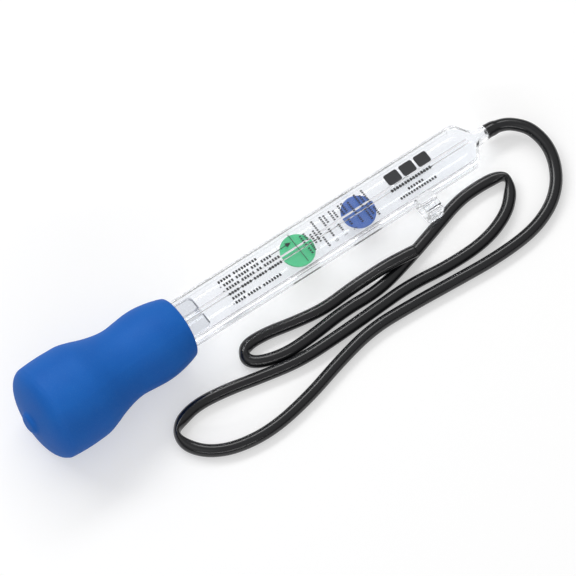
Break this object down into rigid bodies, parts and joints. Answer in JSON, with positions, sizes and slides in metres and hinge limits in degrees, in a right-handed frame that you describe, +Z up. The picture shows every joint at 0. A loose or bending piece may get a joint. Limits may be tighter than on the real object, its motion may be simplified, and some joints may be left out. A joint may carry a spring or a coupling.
{
  "type": "diesel exhaust fluid tester",
  "caption": "Handheld fluid tester: a squeeze bulb on a clear flat tube that holds loose floating discs, with a suction hose on its nozzle.",
  "frame": {"origin": "on the table, under the middle of the tester without its hose", "axes": "+X from the bulb to the hose nozzle, +Z up from the table, +Y across the tube away from the hose holder; the tester's own axis slopes down towards +X by 3.8 degrees"},
  "size_m": [0.2974, 0.0918, 0.0502],
  "materials": {
    "bulb_rubber": "matte moulded rubber",
    "clear_tube": "clear, polished",
    "clear_plug": "clear, polished",
    "green_plastic": "satin",
    "blue_plastic": "satin",
    "hose_rubber": "smooth rubber with a soft sheen"
  },
  "bodies": {
    "tube": {"tube_body": "clear_tube", "end_plug": "clear_plug", "hose": "hose_rubber"},
    "bulb": {"squeeze_bulb": "bulb_rubber"},
    "green_float": {"green_disc": "green_plastic"},
    "blue_float": {"blue_disc": "blue_plastic"}
  },
  "joints": [
    {"name": "bulb_squeeze", "type": "slide", "parent": "tube", "child": "bulb", "axis": [-0.0663, 0, -0.9978], "range_m": [0, 0.006], "stiffness_N_per_m": 2500, "deforming": ["squeeze_bulb"]},
    {"name": "green_drift", "type": "slide", "parent": "tube", "child": "green_float", "axis": [0.9978, 0, -0.0663], "range_m": [-0.049, 0.009]},
    {"name": "blue_drift", "type": "slide", "parent": "tube", "child": "blue_float", "axis": [0.9978, 0, -0.0663], "range_m": [-0.009, 0.0535]}
  ]
}
